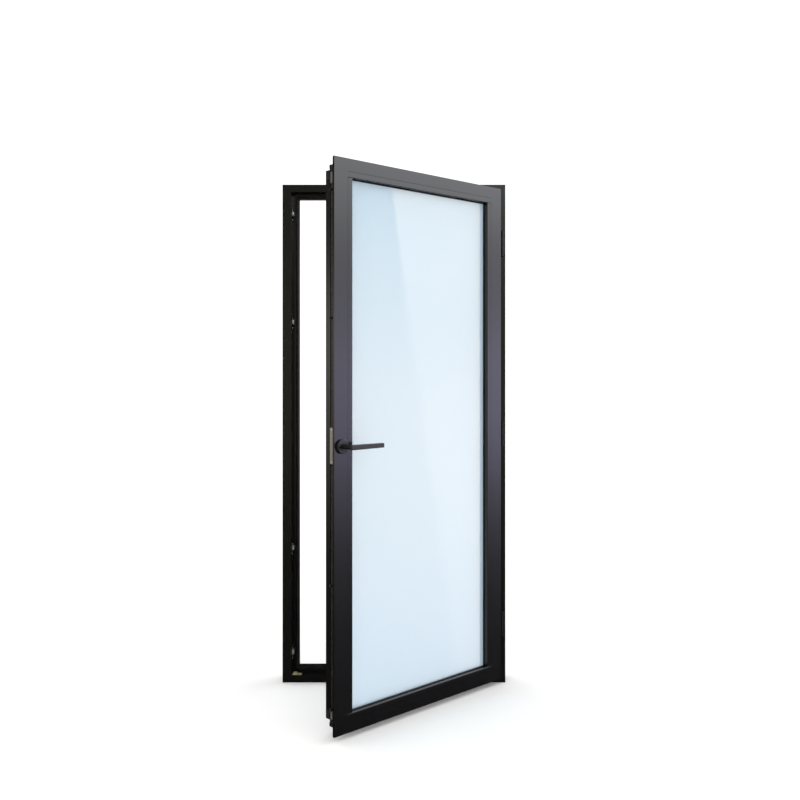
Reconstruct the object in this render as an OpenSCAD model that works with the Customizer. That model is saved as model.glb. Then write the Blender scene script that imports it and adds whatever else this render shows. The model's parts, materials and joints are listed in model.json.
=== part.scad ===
// Glass door with its frame: one glazed leaf, hinged on the right and opening
// to the front, with a rod lock along its free edge worked by a lever handle.
// Millimetres. X runs across, Y from front to back, Z up. The origin is under
// the middle of the frame. The leaf is drawn shut, then turned by open_angle.
// u is measured inwards from the leaf's side edge, v from its top or bottom
// edge, t backwards from its front, and q inwards from the frame's outside.

/* [Frame] */
// Width of the outer frame
frame_w = 940; // [780:5:1200]
// Height of the outer frame
frame_h = 2100; // [1750:10:2600]
// Depth of the outer frame
frame_d = 88; // [74:1:110]
// Front face of a jamb, up to its rebate
jamb_face = 36; // [30:1:44]
// Whole reach of a jamb into the opening, with its stop
jamb_reach = 61; // [56:1:74]
// Head and sill against the jambs, which slopes the mitre
slimness = 0.85; // [0.8:0.05:1]
// Line of the stop seal, from the outside of a jamb
seal_line = 55; // [52:1:56]
// Wall of every extrusion
wall = 2; // [1.6:0.1:2.4]

/* [Leaf] */
// Lap of the leaf over a jamb's front face
side_lap = 11; // [10:1:14]
// Lap of the leaf over the faces of head and sill
end_lap = 8.6; // [8:0.2:12]
// Thickness of the lapping flange
flange_t = 8; // [6:1:10]
// Gap between flange and frame face, filled by the flange seal
flange_gap = 5; // [5:0.5:7]
// Depth of the leaf
leaf_d = 100; // [80:1:120]
// Front face of a stile
stile_face = 62; // [52:1:76]
// Front face of a rail
rail_face = 46; // [40:1:60]
// Width of the glazing beads
bead_w = 22; // [18:1:28]
// Depth of the glazing beads
bead_d = 18; // [15:1:22]
// Angle at which the leaf stands open
open_angle = 45; // [0:5:90]

/* [Glass] */
// Thickness of each pane
pane_t = 6; // [4:1:8]
// Cavity between the panes
cavity_t = 12; // [9:1:16]
// Thickness of the glazing gaskets
gasket_t = 4; // [3:0.5:5]
// Room round the edge of the glass
glass_gap = 6; // [4:1:8]

/* [Hinges] */
// Radius of the hinge knuckles
knuckle_r = 6.5; // [5.5:0.5:7]
// Height of a hinge
hinge_h = 100; // [80:5:120]
// Radius of the hinge pins
pin_r = 3.5; // [3:0.25:4]
// Distance of the end hinges from top and bottom
hinge_end = 250; // [240:10:400]

/* [Lock] */
// Height of the handle above the frame's underside
handle_z = 1049; // [900:10:1150]
// Radius of the rose
rose_r = 26; // [23:1:30]
// Length of the lever from its neck to its tip
lever_l = 141; // [110:1:165]
// Height of the lever
lever_h = 19; // [14:1:22]
// Distance of the lever's centre from the leaf's front
lever_reach = 62.4; // [50:1:75]
// Tooth module of pinion and rod
tooth_module = 1.8; // [1.7:0.1:1.9]
// Radius of the locking cams
cam_r = 5; // [4:0.5:5.5]

/* [Hidden] */
$fn = 48;
// Clearances and gaps
rebate_gap = 10;
end_gap = 13.4;
swing_gap = 5;
end_back_gap = 4.15;
stop_gap = 6;
slide = 0.2;
snug = 0.1;
run = 0.08;
lip = 0.3;
over = 1;

// Frame
front = -frame_d / 2;
head_face = slimness * jamb_face;
head_reach = slimness * jamb_reach;
stand_off = flange_t + flange_gap;
recess = bead_d + gasket_t;
unit_t = 2 * pane_t + cavity_t;
pocket_t = recess + unit_t + gasket_t;
step_wall = 4;
mid_d = pocket_t + step_wall;
stop_y = mid_d - stand_off + stop_gap;
groove_w = 4;
groove_d = 4;
seal_w = 6;
cleat_w = 66;
cleat_h = 80;
fix_r = 4.25;
fix_end = 180;
fix_count = 4;
fix_y = stop_y / 2;
fix_z = [for (i = [0:fix_count - 1]) fix_end + i * (frame_h - 2 * fix_end) / (fix_count - 1)];

// Leaf
leaf_y = front - stand_off;
side_inset = jamb_face - side_lap;
end_inset = head_face - end_lap;
leaf_w = frame_w - 2 * side_inset;
stile_set = jamb_face + rebate_gap - side_inset;
stile_back = jamb_reach + swing_gap - side_inset;
rail_set = head_face + end_gap - end_inset;
rail_back = head_reach + end_back_gap - end_inset;
stile_z0 = end_inset + rail_face;
stile_z1 = frame_h - stile_z0;
keep_end_low = 50;
keep_end_high = 52;
bead_slot = 0.8;
bead_wall = 1.6;
bead_lip = 10;
spigot_h = 60;
spigot_t = [15, pocket_t - 13];
spigot_screw_r = 3;
spigot_screw_l = 62;
plug_t = 4;

// Groove of the drive rod, in the leaf's free edge
rod_t = pocket_t - 7;
rod_w = 15.4;
rod_thick = 2.4;
mouth_w = 12;
channel_w = 16;
channel_d = 2.8;
rod_u = stile_set + wall + slide;
rack_u = rod_u + rod_thick;

// Pinion and rod
teeth = 9;
pitch_r = teeth * tooth_module / 2;
tip_r = pitch_r + 1.6;
root_r = pitch_r - 2.1;
tooth_step = 3.14159265 * tooth_module;
travel = pitch_r * 3.14159265 / 2;
slot_h = 3.6;
slot_w = 6;
pinion_t = 5;
handle_u = rack_u + pitch_r;
rod_z0 = stile_z0 + 7;
rod_z1 = stile_z1 - travel - 5;
keep_z = [stile_z0 + keep_end_low, 561, frame_h - 580, stile_z1 - keep_end_high];
cam_u = stile_set - 6.5;
cam_gap = 0.5;
cam_shank_r = 3;
plate_h = 130;
case_h = 128;
case_t = [rod_t - 6, pocket_t - wall - lip];
case_depth = pitch_r + tip_r + 0.8;
gear_screw_z = 58;
gear_screw_r = 1.95;
guide_top = 40;
guide_bottom = 28;

// Handle
rose_d = 9;
base_r = rose_r - 2;
base_d = 4;
neck_r = 8.5;
lever_d = 13;
lever_round = 3;
spindle_w = 7;
rose_screw_z = base_r - 5;
rose_screw_r = 2.4;
rose_screw_l = 12;
spindle_depth = 30;

// Keeps
keep_base = 1.5;
keep_room = 0.6;
keep_low = 28;
keep_high = 22;
keep_screw_low = -24;
keep_screw_high = 17;
keep_screw_r = 1.95;
keep_screw_l = 12;
keep_front = 16;
keep_back = 14;
rim = 7.5;
rim_w = 6.5;
small_head_r = 3.5;
small_head_h = 1.4;

// Hinges
hinge_q = 15;
hinge_y = front - 10;
hinge_z = [hinge_end, frame_h / 2, frame_h - hinge_end];
middle_h = 32;
bush_h = 1;
strap_t = 2;
strap_d = stop_y - 7;
strap_screw_r = 2.4;
strap_screw_z = 34;
axis_x = frame_w / 2 - hinge_q;

black = "#1d1c1b";
steel = "#8e8c88";
rubber = "#101010";

// ---- Helpers ----

// A box from its limits on X, Y and Z
module span(x, y, z) {
    translate([x[0], y[0], z[0]]) cube([x[1] - x[0], y[1] - y[0], z[1] - z[0]]);
}

// A cylinder along Y, from y[0] to y[1]
module rod_y(r, x, z, y) {
    translate([x, y[0], z]) rotate([-90, 0, 0]) cylinder(r = r, h = y[1] - y[0]);
}

// A cylinder along X, from x[0] to x[1]
module rod_x(r, x, y, z) {
    translate([x[0], y, z]) rotate([0, 90, 0]) cylinder(r = r, h = x[1] - x[0]);
}

// A cylinder along Z, from z[0] to z[1]
module rod_z(r, x, y, z) {
    translate([x, y, z[0]]) cylinder(r = r, h = z[1] - z[0]);
}

// An outline in X and Z, extruded over y[0] to y[1]
module slab(points, y) {
    translate([0, y[1], 0]) rotate([90, 0, 0]) linear_extrude(y[1] - y[0]) polygon(points);
}

// A profile drawn in (inwards, Y), run up along Z
module upright(z) {
    translate([0, 0, z[0]]) linear_extrude(z[1] - z[0]) children();
}

// A profile drawn in (inwards, Y), run across along X, with inwards as Z
module across(length) {
    rotate([0, -90, 0]) linear_extrude(length, center = true) children();
}

// The same thing at the other end, over the frame's mid height
module flipped(turn = true) {
    if (turn) translate([0, 0, frame_h]) mirror([0, 0, 1]) children();
    else children();
}

// The same thing on the other side, over the frame's middle
module mirrored(turn = true) {
    if (turn) mirror([1, 0, 0]) children();
    else children();
}

// A ring that follows the frame, its outer edge at q_side and q_end
module frame_ring(q_side, q_end, width, y) {
    difference() {
        span([-frame_w / 2 + q_side, frame_w / 2 - q_side], y, [q_end, frame_h - q_end]);
        span([-frame_w / 2 + q_side + width, frame_w / 2 - q_side - width],
            [y[0] - over, y[1] + over], [q_end + width, frame_h - q_end - width]);
    }
}

// A ring that follows the leaf, its outer edge at u and v, over the depths t
module leaf_ring(u, v, width, t) {
    frame_ring(side_inset + u, end_inset + v, width, [leaf_y + t[0], leaf_y + t[1]]);
}

// A box on the leaf's free side, from its limits in u, t and Z
module leaf_box(u, t, z) {
    span([u[0] - leaf_w / 2, u[1] - leaf_w / 2], [leaf_y + t[0], leaf_y + t[1]], z);
}

// Turns what is drawn shut about the hinge axis
module opened() {
    translate([axis_x, hinge_y, 0]) rotate([0, 0, open_angle])
        translate([-axis_x, -hinge_y, 0]) children();
}

// ---- Outer frame ----

// Section of the frame, drawn in (q, Y from the front)
module frame_profile(share) {
    face = share * jamb_face;
    reach = share * jamb_reach;
    seal = share * seal_line;
    difference() {
        union() {
            square([face, stop_y]);
            translate([0, stop_y]) square([reach, frame_d - stop_y]);
        }
        translate([wall, wall]) square([face - 2 * wall, stop_y - wall]);
        difference() {
            translate([wall, stop_y + wall])
                square([reach - 2 * wall, frame_d - stop_y - 2 * wall]);
            translate([seal - groove_w / 2 - wall, stop_y])
                square([groove_w + 2 * wall, groove_d + wall]);
        }
        translate([seal - groove_w / 2, stop_y - over]) square([groove_w, groove_d + over]);
    }
}

// The frame's corner cut runs from the outer corner along this slope
module jamb_blank() {
    deep = 1.2 * jamb_reach;
    edge = -frame_w / 2;
    intersection() {
        translate([edge, front, 0]) upright([0, frame_h]) frame_profile(1);
        slab([[edge, 0], [edge + deep, slimness * deep],
            [edge + deep, frame_h - slimness * deep], [edge, frame_h]],
            [front - over, -front + over]);
    }
}

module sill_blank() {
    deep = 1.2 * jamb_reach;
    edge = frame_w / 2;
    intersection() {
        translate([0, front, 0]) across(frame_w) frame_profile(slimness);
        slab([[-edge, 0], [edge, 0], [edge - deep, slimness * deep],
            [deep - edge, slimness * deep]], [front - over, -front + over]);
    }
}

// Bores for the wall fixings, right through a jamb
module fixing_bores() {
    for (z = fix_z)
        rod_x(fix_r, [-frame_w / 2 - over, -frame_w / 2 + jamb_face + over], front + fix_y, z);
}

module jamb_lock() {
    color(black) difference() {
        jamb_blank();
        fixing_bores();
        keep_screw_shanks(keep_screw_r + snug / 2);
    }
}

module jamb_hinge() {
    color(black) difference() {
        mirrored() jamb_blank();
        mirrored() fixing_bores();
        for (z = hinge_z) frame_plate_screws(z, strap_screw_r + snug / 2, false);
    }
}

module head() {
    color(black) flipped() sill_blank();
}

module sill() {
    color(black) difference() {
        sill_blank();
        run_up_shank(keep_screw_r + snug / 2);
    }
}

// Corner cleat in the front chambers of a jamb and the sill or head
module frame_cleat(right, top) {
    edge = -frame_w / 2 + wall + lip;
    low = wall + lip;
    room = wall + 2 * lip;
    y = [front + wall + slide, front + stop_y - wall];
    color(steel) mirrored(right) flipped(top) union() {
        span([edge, -frame_w / 2 + jamb_face - room], y, [low, cleat_h]);
        span([edge, -frame_w / 2 + cleat_w], y, [low, head_face - room]);
    }
}

// Bulb seal on the stop, with its foot in the groove
module stop_seal() {
    foot = groove_w - 2 * snug;
    color(rubber) union() {
        frame_ring(seal_line - foot / 2, slimness * seal_line - foot / 2, foot,
            [front + stop_y - over, front + stop_y + groove_d - slide]);
        frame_ring(seal_line - seal_w / 2, slimness * seal_line - seal_w / 2, seal_w,
            [front + stop_y - stop_gap + lip, front + stop_y]);
    }
}

// ---- Keeps on the lock jamb ----

cam_y = leaf_y + rod_t;
keep_x = -frame_w / 2 + jamb_face;
keep_screw_y = cam_y - 1;

// A keep takes its cam from below, behind its rim
module keep(z) {
    room = cam_r + keep_room;
    color(steel) difference() {
        union() {
            span([keep_x, keep_x + keep_base], [cam_y - keep_front, cam_y + keep_back],
                [z - keep_low, z + keep_high]);
            intersection() {
                span([keep_x, keep_x + rim], [cam_y - room - rim_w, cam_y + room + rim_w],
                    [z - cam_r - 1.5, z + cam_r + 7]);
                rod_x(room + rim_w, [keep_x - over, keep_x + rim + over], cam_y, z);
            }
        }
        span([keep_x + keep_base, keep_x + rim + over], [cam_y - room, cam_y + room],
            [z - 2 * cam_r, z]);
        rod_x(room, [keep_x + keep_base, keep_x + rim + over], cam_y, z);
        for (dz = [keep_screw_low, keep_screw_high])
            rod_x(keep_screw_r + snug, [keep_x - over, keep_x + rim], keep_screw_y, z + dz);
    }
}

module keep_screw_shanks(r) {
    for (z = keep_z, dz = [keep_screw_low, keep_screw_high])
        rod_x(r, [keep_x - keep_screw_l, keep_x + keep_base], keep_screw_y, z + dz);
}

module keep_screws() {
    color(steel) union() {
        keep_screw_shanks(keep_screw_r);
        for (z = keep_z, dz = [keep_screw_low, keep_screw_high])
            rod_x(small_head_r, [keep_x + keep_base, keep_x + keep_base + 1.2], keep_screw_y, z + dz);
    }
}

// Run-up block on the sill, which lifts the leaf's free corner as it shuts
block_gap = 5;
block_x = -frame_w / 2 + jamb_face + block_gap;
block_l = 38;
block_y = [front + 3, front + 25];
block_screw_x = block_x + 32;
block_screw_y = front + 14;
block_base = 2;
ramp_l = 20;
ramp_h = 8;
ramp_slope = 3;

module run_up_block() {
    color("#b8a878") difference() {
        union() {
            span([block_x, block_x + block_l], block_y, [head_face, head_face + block_base]);
            slab([[block_x, head_face], [block_x + ramp_l, head_face],
                [block_x + ramp_l - ramp_slope, head_face + ramp_h],
                [block_x + ramp_slope, head_face + ramp_h]], block_y);
        }
        rod_z(keep_screw_r + snug, block_screw_x, block_screw_y, [0, head_face + ramp_h + over]);
    }
}

module run_up_shank(r) {
    rod_z(r, block_screw_x, block_screw_y, [head_face - keep_screw_l, head_face + block_base]);
}

module run_up_screw() {
    color(steel) union() {
        run_up_shank(keep_screw_r);
        rod_z(small_head_r, block_screw_x, block_screw_y,
            [head_face + block_base, head_face + block_base + small_head_h]);
    }
}

// ---- Hinges ----

// X on the hinge side, from q
function hx(q) = frame_w / 2 - q;

web = knuckle_r;
strap_screw_l = 18;
strap_screw_in = 24;
strap_head_r = 4;
strap_head_h = 1.5;
strap_leaf_d = 32;
leaf_knuckle_gap = 0.8;
strap_screw_y = front + strap_screw_in;
knuckle_z = [[-hinge_h / 2, -middle_h / 2 - bush_h], [middle_h / 2 + bush_h, hinge_h / 2]];

module frame_plate_screws(z, r, heads) {
    q = jamb_face + strap_t;
    for (dz = [-strap_screw_z, 0, strap_screw_z]) {
        rod_x(r, [hx(q), hx(q - strap_screw_l)], strap_screw_y, z + dz);
        if (heads) rod_x(strap_head_r, [hx(q + strap_head_h), hx(q)], strap_screw_y, z + dz);
    }
}

module hinge_frame_plate(z) {
    q = jamb_face + strap_t;
    h = [z - hinge_h / 2, z + hinge_h / 2];
    color(black) difference() {
        union() {
            for (k = knuckle_z) {
                rod_z(knuckle_r, axis_x, hinge_y, [z + k[0], z + k[1]]);
                span([hx(hinge_q + web), hx(hinge_q - web)], [hinge_y, front - strap_t],
                    [z + k[0], z + k[1]]);
            }
            span([hx(q), hx(hinge_q - web)], [front - strap_t, front], h);
            span([hx(q), hx(jamb_face)], [front - strap_t, front + strap_d], h);
        }
        rod_z(pin_r + snug / 2, axis_x, hinge_y, [z - hinge_h, z + hinge_h]);
        frame_plate_screws(z, strap_screw_r + snug, false);
    }
}

module leaf_plate_screws(z, r, heads) {
    q = side_inset + stile_set - strap_t;
    for (dz = [-strap_screw_z, 0, strap_screw_z]) {
        rod_x(r, [hx(q + strap_screw_l), hx(q)], leaf_y + strap_screw_in, z + dz);
        if (heads)
            rod_x(strap_head_r, [hx(q), hx(q - strap_head_h)], leaf_y + strap_screw_in, z + dz);
    }
}

module hinge_leaf_plate(z) {
    q = side_inset + stile_set;
    h = [z - hinge_h / 2, z + hinge_h / 2];
    back = leaf_y + flange_t;
    middle = [z - middle_h / 2, z + middle_h / 2];
    color(black) opened() difference() {
        union() {
            rod_z(knuckle_r, axis_x, hinge_y, middle);
            span([hx(hinge_q + web + leaf_knuckle_gap), hx(hinge_q)], [hinge_y, back + strap_t], middle);
            span([hx(q), hx(hinge_q + web + leaf_knuckle_gap)], [back, back + strap_t], h);
            span([hx(q), hx(q - strap_t)], [back, back + strap_leaf_d], h);
        }
        span([hx(side_inset + 2), hx(side_inset - 10)], [hinge_y - over, back], h);
        rod_z(pin_r + run, axis_x, hinge_y, [z - hinge_h, z + hinge_h]);
        leaf_plate_screws(z, strap_screw_r + snug, false);
    }
}

// Pins with a cap at each end
module hinge_pins() {
    cap = 3;
    half = hinge_h / 2;
    color(black) for (z = hinge_z) union() {
        rod_z(pin_r, axis_x, hinge_y, [z - half - over, z + half + over]);
        rod_z(knuckle_r, axis_x, hinge_y, [z + half, z + half + cap]);
        rod_z(knuckle_r, axis_x, hinge_y, [z - half - cap, z - half]);
    }
}

module hinge_bushes() {
    play = 0.05;
    color("#202020") for (z = hinge_z, side = [0, 1]) {
        base = z - middle_h / 2 - bush_h + side * (middle_h + bush_h);
        difference() {
            rod_z(knuckle_r - slide, axis_x, hinge_y, [base + play, base + bush_h - play]);
            rod_z(pin_r + snug, axis_x, hinge_y, [base - over, base + bush_h + over]);
        }
    }
}

module hinge_frame_screws() {
    color(steel) for (z = hinge_z) frame_plate_screws(z, strap_screw_r, true);
}

module hinge_leaf_screws() {
    color(steel) opened() for (z = hinge_z) leaf_plate_screws(z, strap_screw_r, true);
}

// ---- Leaf frame ----

// Section of a stile or rail, drawn in (inwards from the leaf's edge, t)
module leaf_profile(set, back, face) {
    inner = face + bead_w;
    difference() {
        union() {
            square([face, flange_t]);
            translate([set, 0]) square([face - set, pocket_t + wall]);
            translate([set, flange_t]) square([back - set + wall, mid_d - flange_t]);
            translate([back, pocket_t]) square([inner - back, leaf_d - pocket_t]);
        }
        translate([set + wall, wall]) square([face - set - 2 * wall, pocket_t - 2 * wall]);
        translate([back + wall, pocket_t + wall])
            square([inner - back - 2 * wall, leaf_d - pocket_t - 2 * wall]);
    }
}

// Stile section, with the channel in which the drive rod runs
module stile_profile() {
    floor_u = stile_set + wall + channel_d;
    difference() {
        union() {
            leaf_profile(stile_set, stile_back, stile_face);
            translate([stile_set, rod_t - channel_w / 2 - wall])
                square([floor_u + wall - stile_set, mid_d - rod_t + channel_w / 2 + wall]);
        }
        translate([stile_set - over, rod_t - mouth_w / 2]) square([wall + 2 * over, mouth_w]);
        translate([stile_set + wall, rod_t - channel_w / 2]) square([channel_d, channel_w]);
    }
}

// A stile on the free side, coped over the rails' back legs
module stile_blank() {
    difference() {
        translate([-leaf_w / 2, leaf_y, 0]) upright([stile_z0, stile_z1]) stile_profile();
        for (top = [false, true])
            flipped(top) leaf_box([stile_back, stile_face + bead_w + over],
                [pocket_t, leaf_d + over], [0, stile_z0 + bead_w]);
    }
}

// A rail at the bottom, over the leaf's full width, its ends cut to the stiles' steps
module rail_blank() {
    difference() {
        translate([0, leaf_y, end_inset]) across(leaf_w) leaf_profile(rail_set, rail_back, rail_face);
        for (right = [false, true]) mirrored(right) {
            leaf_box([-over, stile_set], [flange_t, leaf_d + over], [0, frame_h]);
            leaf_box([-over, stile_back], [mid_d, leaf_d + over], [0, frame_h]);
            leaf_box([-over, stile_back], [pocket_t, leaf_d + over], [stile_z0, frame_h]);
        }
        for (right = [false, true]) mirrored(right) spigot_screw_pair(spigot_screw_r + snug);
    }
}

// Two long screws up through the bottom rail into a spigot
module spigot_screw_pair(r, heads = false) {
    low = end_inset + rail_set;
    x = -leaf_w / 2 + (stile_set + stile_face) / 2 + 3;
    for (t = spigot_t) {
        rod_z(r, x, leaf_y + t, [low - (heads ? 0 : over), low + spigot_screw_l]);
        if (heads) rod_z(5, x, leaf_y + t, [low - 3, low]);
    }
}

module spigot(right, top) {
    u = [stile_set + 2 * wall + channel_d + lip, stile_face - wall - lip];
    color(steel) opened() mirrored(right) flipped(top) difference() {
        leaf_box(u, [wall + lip, pocket_t - wall - lip], [stile_z0, stile_z0 + spigot_h]);
        spigot_screw_pair(spigot_screw_r + snug);
    }
}

module spigot_screws() {
    color(steel) opened() for (right = [false, true], top = [false, true])
        mirrored(right) flipped(top) spigot_screw_pair(spigot_screw_r, true);
}

module stile_lock() {
    color(black) opened() difference() {
        stile_blank();
        leaf_box([stile_set - over, stile_set + 2 * wall + channel_d + over],
            [rod_t - channel_w / 2 - slide, rod_t + channel_w / 2 + slide],
            [handle_z - plate_h / 2 - slide, handle_z + plate_h / 2 + slide]);
        rod_y(neck_r + 1.5, handle_x, handle_z, [leaf_y - over, leaf_y + wall + over]);
        rose_screw_shanks(rose_screw_r + snug);
    }
}

module stile_hinge() {
    color(black) opened() difference() {
        mirrored() stile_blank();
        for (z = hinge_z) leaf_plate_screws(z, strap_screw_r + snug / 2, false);
    }
}

module rail_top() {
    color(black) opened() flipped() rail_blank();
}

module rail_bottom() {
    color(black) opened() rail_blank();
}

// Plugs that close the chambers at the ends of the rails
module rail_end_plugs() {
    color(rubber) opened() for (right = [false, true], top = [false, true])
        mirrored(right) flipped(top) {
            leaf_box([stile_set, stile_set + plug_t],
                [wall + snug, pocket_t - wall - snug],
                [end_inset + rail_set + wall + snug, stile_z0 - wall - snug]);
            leaf_box([stile_back, stile_back + plug_t],
                [pocket_t + wall + snug, leaf_d - wall - snug],
                [end_inset + rail_back + wall + snug, stile_z0 + bead_w - wall - snug]);
        }
}

// ---- Glazing ----

// Section of a bead, drawn in (inwards from the face, t)
module bead_profile() {
    chamfer = 1.5;
    difference() {
        polygon([[bead_slot, 0], [bead_w - chamfer, 0], [bead_w, chamfer], [bead_w, bead_d],
            [0, bead_d], [0, bead_lip], [bead_slot, bead_lip]]);
        translate([bead_slot + bead_wall, bead_wall])
            square([bead_w - bead_slot - 2 * bead_wall, bead_d - 2 * bead_wall]);
    }
}

module side_bead(right) {
    color(black) opened() mirrored(right) translate([stile_face - leaf_w / 2, leaf_y, 0])
        upright([stile_z0 + bead_w, stile_z1 - bead_w]) bead_profile();
}

module end_bead(top) {
    color(black) opened() flipped(top) translate([0, leaf_y, stile_z0])
        across(leaf_w - 2 * stile_face) bead_profile();
}

module bead_lock() {
    side_bead(false);
}

module bead_hinge() {
    side_bead(true);
}

module bead_top() {
    end_bead(true);
}

module bead_bottom() {
    end_bead(false);
}

glass_u = stile_face + glass_gap;
glass_v = rail_face + glass_gap;

module pane(t) {
    color("#cfe2ee", 0.5) opened()
        span([glass_u - leaf_w / 2, leaf_w / 2 - glass_u], [leaf_y + t, leaf_y + t + pane_t],
            [end_inset + glass_v, frame_h - end_inset - glass_v]);
}

module pane_front() {
    pane(recess);
}

module pane_back() {
    pane(recess + pane_t + cavity_t);
}

cavity = [recess + pane_t, recess + pane_t + cavity_t];
sealant_w = 5;

module spacer_bar() {
    color("#2a2a2a") opened() leaf_ring(glass_u + sealant_w, glass_v + sealant_w, 8, cavity);
}

module edge_sealant() {
    color(rubber) opened() leaf_ring(glass_u, glass_v, sealant_w, cavity);
}

// Blocks that carry and centre the glass in its pocket
module setting_blocks() {
    t = [recess, recess + unit_t];
    long = 80;
    corner = 60;
    color("#3a3a3a") opened() for (right = [false, true], top = [false, true])
        mirrored(right) flipped(top) {
            leaf_box([glass_u + corner, glass_u + corner + long], t,
                [stile_z0, end_inset + glass_v]);
            leaf_box([stile_face, glass_u], t,
                [stile_z0 + corner, stile_z0 + corner + long]);
        }
}

module gasket_front() {
    color(rubber) opened() leaf_ring(stile_face + 10, rail_face + 10, bead_w - 6,
        [bead_d, recess]);
}

module gasket_back() {
    color(rubber) opened() leaf_ring(stile_face + 10, rail_face + 10, bead_w - 8,
        [pocket_t - gasket_t, pocket_t]);
}

// Lip seal behind the flange, cut away at the hinges
module flange_seal() {
    inset = 2;
    width = 5;
    color(rubber) opened() difference() {
        leaf_ring(inset, inset, width, [flange_t, stand_off - lip]);
        for (z = hinge_z)
            span([hx(side_inset + 30), hx(0)], [leaf_y, front],
                [z - hinge_h / 2 - 3, z + hinge_h / 2 + 3]);
    }
}

// ---- Gearbox, drive rod and cams ----

handle_x = handle_u - leaf_w / 2;

module gear_screw_shanks(r) {
    for (dz = [-gear_screw_z, gear_screw_z])
        rod_x(r, [stile_set - leaf_w / 2, rack_u + 8 - leaf_w / 2], leaf_y + rod_t, handle_z + dz);
}

// Case round the pinion, open towards the rod
module gearbox_case() {
    color(steel) opened() difference() {
        leaf_box([rack_u + slide, rack_u + slide + case_depth], case_t,
            [handle_z - case_h / 2, handle_z + case_h / 2]);
        rod_y(tip_r + 0.5, handle_x, handle_z,
            [leaf_y + rod_t - pinion_t / 2 - 0.5, leaf_y + rod_t + pinion_t / 2 + 0.5]);
        rod_y(root_r - 0.1 + run, handle_x, handle_z, [leaf_y, leaf_y + mid_d]);
        gear_screw_shanks(gear_screw_r + snug / 2);
    }
}

module faceplate() {
    color("#a9a6a0") opened() difference() {
        leaf_box([stile_set, stile_set + wall],
            [rod_t - channel_w / 2, rod_t + channel_w / 2],
            [handle_z - plate_h / 2, handle_z + plate_h / 2]);
        gear_screw_shanks(gear_screw_r + snug);
        for (dz = [-gear_screw_z, gear_screw_z])
            rod_x(small_head_r, [stile_set - over - leaf_w / 2, stile_set + 1.2 - leaf_w / 2],
                leaf_y + rod_t, handle_z + dz);
    }
}

module faceplate_screws() {
    color(steel) opened() union() {
        gear_screw_shanks(gear_screw_r);
        for (dz = [-gear_screw_z, gear_screw_z])
            rod_x(3.4, [stile_set - leaf_w / 2, stile_set + 1.2 - leaf_w / 2],
                leaf_y + rod_t, handle_z + dz);
    }
}

// Guides that close the mouth of the channel over the rod's ends
module rod_guides() {
    t = [rod_t - mouth_w / 2 + snug, rod_t + mouth_w / 2 - snug];
    u = [stile_set, stile_set + wall];
    color("#55544f") opened() union() {
        leaf_box(u, t, [stile_z1 - 2 - guide_top, stile_z1 - 2]);
        leaf_box(u, t, [stile_z0 + 2, stile_z0 + 2 + guide_bottom]);
    }
}

// Flat rod with slots that serve as a rack, and slots round the gearbox screws
module drive_rod() {
    u = [rod_u - over, rack_u + over];
    color("#77756f") opened() difference() {
        leaf_box([rod_u, rack_u], [rod_t - rod_w / 2, rod_t + rod_w / 2], [rod_z0, rod_z1]);
        for (i = [-4:2])
            leaf_box(u, [rod_t - slot_w / 2, rod_t + slot_w / 2],
                [handle_z + i * tooth_step - slot_h / 2, handle_z + i * tooth_step + slot_h / 2]);
        for (dz = [-gear_screw_z, gear_screw_z])
            leaf_box(u, [rod_t - 2.6, rod_t + 2.6],
                [handle_z + dz - travel - 2.6, handle_z + dz + 2.6]);
        cam_shanks(cam_shank_r + snug);
    }
}

module cam_shanks(r) {
    for (z = keep_z)
        rod_x(r, [stile_set - cam_gap - leaf_w / 2, rack_u - leaf_w / 2], leaf_y + rod_t,
            z - travel);
}

module cams() {
    color(steel) opened() union() {
        cam_shanks(cam_shank_r);
        for (z = keep_z)
            rod_x(cam_r, [cam_u - leaf_w / 2, stile_set - cam_gap - leaf_w / 2],
                leaf_y + rod_t, z - travel);
    }
}

// Pinion with slim straight-sided teeth, one of them pointing at the rod
module pinion() {
    half_root = 1.5;
    half_tip = 0.7;
    color(steel) opened() translate([handle_x, leaf_y + rod_t, handle_z])
        rotate([90, 0, 0]) difference() {
            union() {
                cylinder(r = root_r - 0.1, h = case_t[1] - case_t[0] - 1, center = true);
                linear_extrude(pinion_t, center = true) for (i = [0:teeth - 1])
                    rotate(180 + i * 360 / teeth)
                        polygon([[root_r - 1, -half_root], [tip_r, -half_tip],
                            [tip_r, half_tip], [root_r - 1, half_root]]);
            }
            cube([spindle_w + snug, spindle_w + snug, leaf_d], center = true);
        }
}

// ---- Handle ----

module rose_screw_shanks(r) {
    for (dz = [-rose_screw_z, rose_screw_z])
        rod_y(r, handle_x, handle_z + dz, [leaf_y - base_d, leaf_y + rose_screw_l]);
}

module rose_base() {
    color(steel) opened() difference() {
        rod_y(base_r, handle_x, handle_z, [leaf_y - base_d, leaf_y]);
        rod_y(neck_r + run, handle_x, handle_z, [leaf_y - base_d - over, leaf_y + over]);
        rose_screw_shanks(rose_screw_r + snug);
    }
}

module rose_screws() {
    color(steel) opened() union() {
        rose_screw_shanks(rose_screw_r);
        for (dz = [-rose_screw_z, rose_screw_z])
            rod_y(4.2, handle_x, handle_z + dz, [leaf_y - base_d - 2.6, leaf_y - base_d]);
    }
}

// Rose cover, a turned cup with an eased rim
module rose_cover() {
    ease = 1.2;
    color(black) opened() translate([handle_x, leaf_y, handle_z]) rotate([90, 0, 0])
        rotate_extrude() polygon([[neck_r + 0.8, rose_d], [rose_r - ease, rose_d],
            [rose_r, rose_d - ease], [rose_r, 0], [base_r + 0.4, 0],
            [base_r + 0.4, rose_d - 1.5], [neck_r + 0.8, rose_d - 1.5]]);
}

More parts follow.
